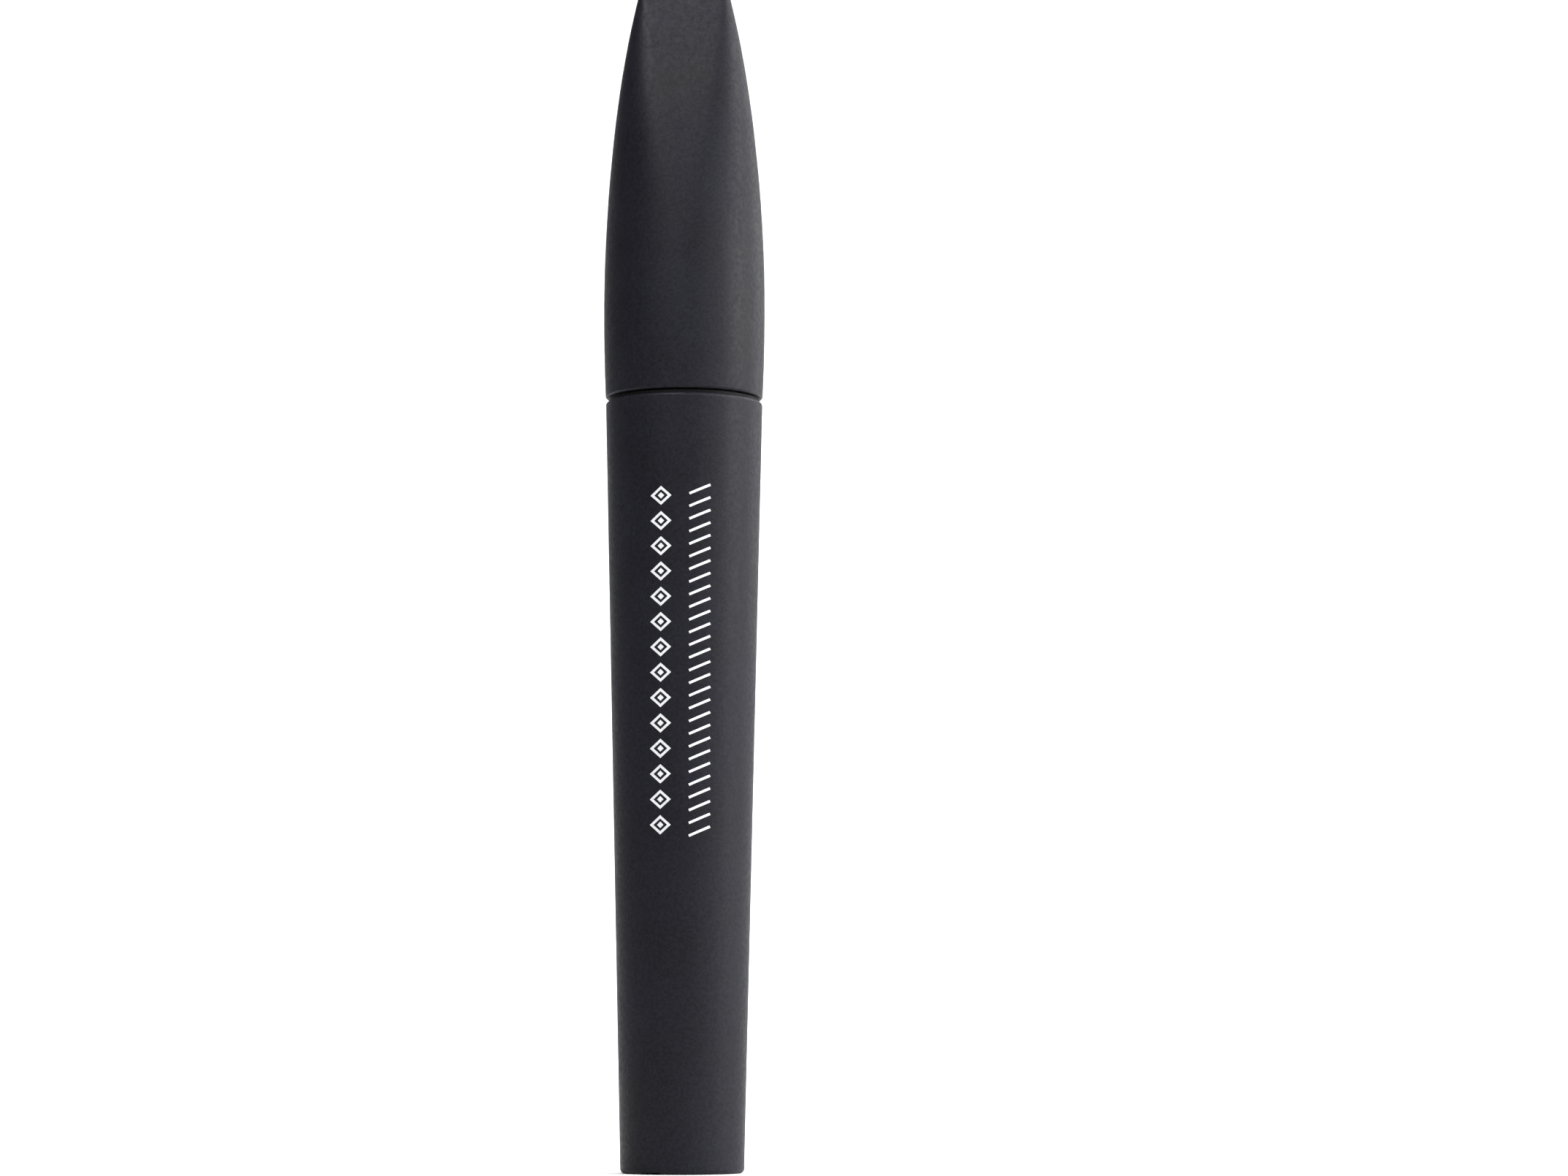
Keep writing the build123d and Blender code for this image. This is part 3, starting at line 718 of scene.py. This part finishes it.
class MASCARA_OT_ornament(bpy.types.Operator):
    """Printed ornament on the tube's front: plain lozenges beside slanting strokes"""

    bl_idname = "mascara.ornament"
    bl_label = "Printed Ornament"

    def lozenge(self, across, tall, stroke):
        """Hollow lozenge in the X-Z plane, drawn round the origin."""
        clear_selection()
        bpy.ops.mesh.primitive_circle_add(
            vertices=4, radius=0.5, fill_type="NGON", rotation=(math.pi / 2, 0, 0)
        )
        mark = bpy.context.object
        mark.scale = (across, tall, 1)
        bpy.ops.object.transform_apply(location=True, rotation=True, scale=True)
        bpy.ops.object.mode_set(mode="EDIT")
        bpy.ops.mesh.select_all(action="SELECT")
        bpy.ops.mesh.inset(thickness=stroke, depth=0)
        bpy.ops.mesh.delete(type="FACE")
        bpy.ops.mesh.select_all(action="SELECT")
        bpy.ops.mesh.subdivide(number_cuts=4)
        bpy.ops.object.mode_set(mode="OBJECT")
        return mark

    def stroke(self, across, tall):
        """Straight stroke in the X-Z plane, drawn round the origin."""
        clear_selection()
        bpy.ops.mesh.primitive_plane_add(size=1.0, rotation=(math.pi / 2, 0, 0))
        mark = bpy.context.object
        mark.scale = (across, tall, 1)
        bpy.ops.object.transform_apply(location=True, rotation=True, scale=True)
        bpy.ops.object.mode_set(mode="EDIT")
        for step in range(1, 10):
            bpy.ops.mesh.select_all(action="SELECT")
            bpy.ops.mesh.bisect(plane_co=(across * (step / 10 - 0.5), 0, 0), plane_no=(1, 0, 0))
        bpy.ops.object.mode_set(mode="OBJECT")
        return mark

    def execute(self, context):
        s = settings()
        # the marks are drawn flat, just in front of the tube, and then pressed on to it
        front = -(SLEEVE_HIGH.x + 1.0 * MM)
        marks = []

        def stamp(master, x, z):
            copy = bpy.data.objects.new(master.name + "_copy", master.data.copy())
            copy.data.transform(Matrix.Translation((x, front, z)))
            bpy.context.scene.collection.objects.link(copy)
            marks.append(copy)

        outline = self.lozenge(*LOZENGE_SIZE, s.ink_stroke)
        core = self.stroke(CORE_SIZE, CORE_SIZE)
        core.data.transform(Matrix.Rotation(math.radians(45), 4, "Y"))
        slant = self.stroke(SLANT_LENGTH, s.ink_stroke)
        slant.data.transform(Matrix.Rotation(SLANT_ANGLE, 4, "Y"))
        pitch = (ORNAMENT_TOP - ORNAMENT_BOTTOM) / MARKS_PER_ROW
        for k in range(MARKS_PER_ROW):
            level = ORNAMENT_BOTTOM + (k + 0.5) * pitch
            stamp(outline, LEFT_ROW, level)
            stamp(core, LEFT_ROW, level)
            stamp(slant, RIGHT_ROW, level - pitch / 4)
            stamp(slant, RIGHT_ROW, level + pitch / 4)
        for master in (outline, core, slant):
            bpy.data.objects.remove(master)
        ornament = join_as(marks, "printed_ornament")
        wrap = ornament.modifiers.new("onto_tube", "SHRINKWRAP")
        wrap.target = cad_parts["outer_sleeve"]
        wrap.wrap_method = "PROJECT"
        wrap.use_project_y = True
        wrap.use_positive_direction = True
        wrap.use_negative_direction = False
        wrap.offset = INK_LIFT
        wrap.project_limit = 0.02
        film = ornament.modifiers.new("film", "SOLIDIFY")
        film.thickness = INK_FILM
        film.offset = 0
        apply_all_modifiers(ornament)
        ornament.data.materials.clear()
        ink = screen_printed_ink("screen_printed_ink", tuple(s.ink), "#bebfc3")
        ornament.data.materials.append(ink)
        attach(ornament, "tube")
        return {"FINISHED"}


class MASCARA_OT_stage(bpy.types.Operator):
    """Pale seamless paper, soft lights and the camera"""

    bl_idname = "mascara.stage"
    bl_label = "Studio"

    def softbox(self, name, place, aim, width, height, spread, power):
        """Soft rectangular light standing at place and turned towards aim."""
        data = bpy.data.lights.new(name, "AREA")
        data.shape = "RECTANGLE"
        data.size = width
        data.size_y = height
        data.spread = math.radians(spread)
        data.energy = power
        lamp = bpy.data.objects.new(name, data)
        bpy.context.scene.collection.objects.link(lamp)
        lamp.location = place
        lamp.rotation_euler = (Vector(aim) - Vector(place)).to_track_quat("-Z", "Y").to_euler()

    def execute(self, context):
        s = settings()
        scene = bpy.context.scene
        # one sheet of paper: floor, a wide curve, then the wall behind
        clear_selection()
        bpy.ops.mesh.primitive_plane_add(size=1.0)
        paper = bpy.context.object
        paper.name = "studio_paper"
        paper.scale = (*PAPER_SIZE, 1.0)
        paper.location = (0, PAPER_MIDDLE, 0)
        bpy.ops.object.transform_apply(location=True, rotation=True, scale=True)
        bpy.ops.object.mode_set(mode="EDIT")
        pick(paper, lambda e: all(v.co.y > PAPER_BACK - 0.01 for v in e.verts), "edges")
        for k in range(CURVE_STEPS):
            a = math.radians(90 * (k + 1) / CURVE_STEPS)
            b = math.radians(90 * k / CURVE_STEPS)
            back = CURVE_RADIUS * (math.sin(a) - math.sin(b))
            up = CURVE_RADIUS * (math.cos(b) - math.cos(a))
            bpy.ops.mesh.extrude_region_move(TRANSFORM_OT_translate={"value": (0, back, up)})
        bpy.ops.mesh.extrude_region_move(TRANSFORM_OT_translate={"value": (0, 0, WALL_HEIGHT)})
        bpy.ops.object.mode_set(mode="OBJECT")
        bpy.ops.object.shade_smooth()
        paper.data.materials.append(matt_paper("background_paper", "#f8f8f8", "#f4f4f4"))

        for name, (*shape, power) in LIGHTS.items():
            self.softbox(name, *shape, getattr(s, power))

        world = bpy.data.worlds.new("studio_air")
        scene.world = world
        world.use_nodes = True
        background = world.node_tree.nodes["Background"]
        background.inputs["Color"].default_value = linear("#f4f5f8")
        background.inputs["Strength"].default_value = s.room_light

        data = bpy.data.cameras.new("product_camera")
        data.sensor_width = SENSOR
        data.sensor_fit = "HORIZONTAL"
        data.lens = LENS
        data.clip_start = 0.01
        data.clip_end = 50.0
        data.dof.use_dof = False
        camera = bpy.data.objects.new("product_camera", data)
        scene.collection.objects.link(camera)
        camera.location = (CAMERA_ASIDE, -s.camera_back, s.camera_height)
        camera.rotation_euler = (math.radians(90) + s.camera_tilt, 0, 0)
        scene.camera = camera
        scene.view_settings.view_transform = "Standard"
        return {"FINISHED"}


class MASCARA_PT_panel(bpy.types.Panel):
    """Sidebar panel with every step"""

    bl_idname = "MASCARA_PT_panel"
    bl_label = "Mascara Tube"
    bl_space_type = "VIEW_3D"
    bl_region_type = "UI"
    bl_category = "Mascara"

    def draw(self, context):
        layout = self.layout
        for operator in STEPS:
            layout.operator(operator.bl_idname, text=operator.bl_label)
        for name in MascaraFinishSettings.__annotations__:
            layout.prop(context.scene.mascara_finish, name)


STEPS = (
    MASCARA_OT_shell,
    MASCARA_OT_closure,
    MASCARA_OT_wand,
    MASCARA_OT_brush,
    MASCARA_OT_ornament,
    MASCARA_OT_stage,
)
CLASSES = (MascaraFinishSettings, *STEPS, MASCARA_PT_panel)


def register():
    for one in CLASSES:
        bpy.utils.register_class(one)
    bpy.types.Scene.mascara_finish = bpy.props.PointerProperty(type=MascaraFinishSettings)


def unregister():
    del bpy.types.Scene.mascara_finish
    for one in reversed(CLASSES):
        bpy.utils.unregister_class(one)


def main():
    register()
    bpy.ops.mascara.shell()
    bpy.ops.mascara.closure()
    bpy.ops.mascara.wand()
    bpy.ops.mascara.brush()
    bpy.ops.mascara.ornament()
    bpy.ops.mascara.stage()


if __name__ == "__main__":
    main()
